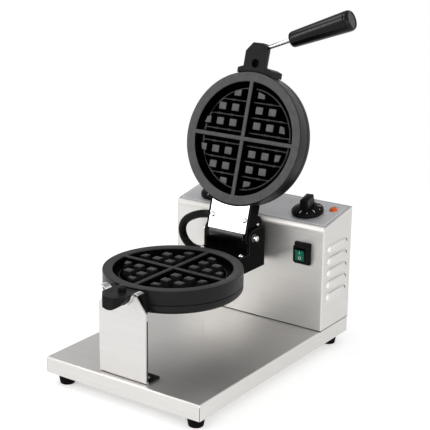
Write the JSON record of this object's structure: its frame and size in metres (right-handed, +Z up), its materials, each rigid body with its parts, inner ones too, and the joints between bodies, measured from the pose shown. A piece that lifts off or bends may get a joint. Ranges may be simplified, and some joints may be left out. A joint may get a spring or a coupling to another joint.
{
  "type": "waffle maker",
  "caption": "Countertop rotary waffle maker: round hinged grid plates on a turning shaft, a front cradle and a rear control housing with knobs.",
  "frame": {"origin": "on the floor under the middle of the base tray", "axes": "+Z up, the front with the plate's cradle towards -Y, +X to the user's right"},
  "size_m": [0.3031, 0.4582, 0.547],
  "materials": {
    "brushed_steel": "brushed",
    "satin_steel": "satin",
    "bright_steel": "polished",
    "grey_film": "satin",
    "cast_plate": "dark non-stick coating",
    "black_paint": "semi-gloss",
    "black_plastic": "satin",
    "black_rubber": "matt",
    "green_lens": "gloss",
    "orange_lens": "gloss",
    "element_steel": "oxidised"
  },
  "bodies": {
    "base": {"base_tray": "brushed_steel", "foot_front_left": "black_rubber", "foot_front_right": "black_rubber", "foot_rear_left": "black_rubber", "foot_rear_right": "black_rubber", "control_housing": "brushed_steel", "rear_panel": "brushed_steel", "mains_gland": "black_plastic", "front_support": "satin_steel", "cradle_liner": "bright_steel", "rotor_bearing": "bright_steel", "console_overlay": "grey_film", "pilot_lamp": "orange_lens", "timer_body": "black_plastic", "thermostat_body": "black_plastic", "rocker_bezel": "black_plastic"},
    "rotor": {"rotor_shaft": "bright_steel", "rotor_bracket": "black_paint", "cable_hose": "black_rubber", "lower_hose_gland": "black_plastic", "lower_grid_plate": "cast_plate", "lower_back_cover": "cast_plate", "lower_element": "element_steel", "lower_lug": "cast_plate", "lug_stud": "cast_plate", "hinge_bolt": "bright_steel", "hinge_nut_left": "bright_steel", "hinge_nut_right": "bright_steel"},
    "lid": {"hinge_barrel": "black_paint", "hinge_spacer": "black_paint", "arm_channel": "black_paint", "arm_cover_plate": "satin_steel", "upper_hose_gland": "black_plastic", "upper_grid_plate": "cast_plate", "upper_back_cover": "cast_plate", "upper_element": "element_steel", "upper_lug": "cast_plate", "handle_rod": "bright_steel", "handle_grip": "black_plastic", "handle_cap": "black_plastic"},
    "timer_knob": {"timer_knob": "black_plastic", "timer_shaft": "bright_steel"},
    "thermostat_knob": {"thermostat_knob": "black_plastic", "thermostat_shaft": "bright_steel"},
    "rocker": {"rocker_key": "green_lens"}
  },
  "joints": [
    {"name": "rotor_turn", "type": "hinge", "parent": "base", "child": "rotor", "pos_m": [0, 0, 0.18], "axis": [0, 1, 0], "range_deg": [0, 36]},
    {"name": "lid_hinge", "type": "hinge", "parent": "rotor", "child": "lid", "pos_m": [0, 0.0708, 0.1944], "axis": [1, 0, 0], "range_deg": [0, 105.96]},
    {"name": "timer_turn", "type": "hinge", "parent": "base", "child": "timer_knob", "pos_m": [-0.0887, 0.15863, 0.22287], "axis": [0, -0.184, 0.9829], "range_deg": [-300, 0]},
    {"name": "thermostat_turn", "type": "hinge", "parent": "base", "child": "thermostat_knob", "pos_m": [0.0887, 0.15863, 0.22287], "axis": [0, -0.184, 0.9829], "range_deg": [-270, 0]},
    {"name": "rocker_tilt", "type": "hinge", "parent": "base", "child": "rocker", "pos_m": [0.10675, 0.1178, 0.1695], "axis": [1, 0, 0], "range_deg": [-12, 0]}
  ]
}
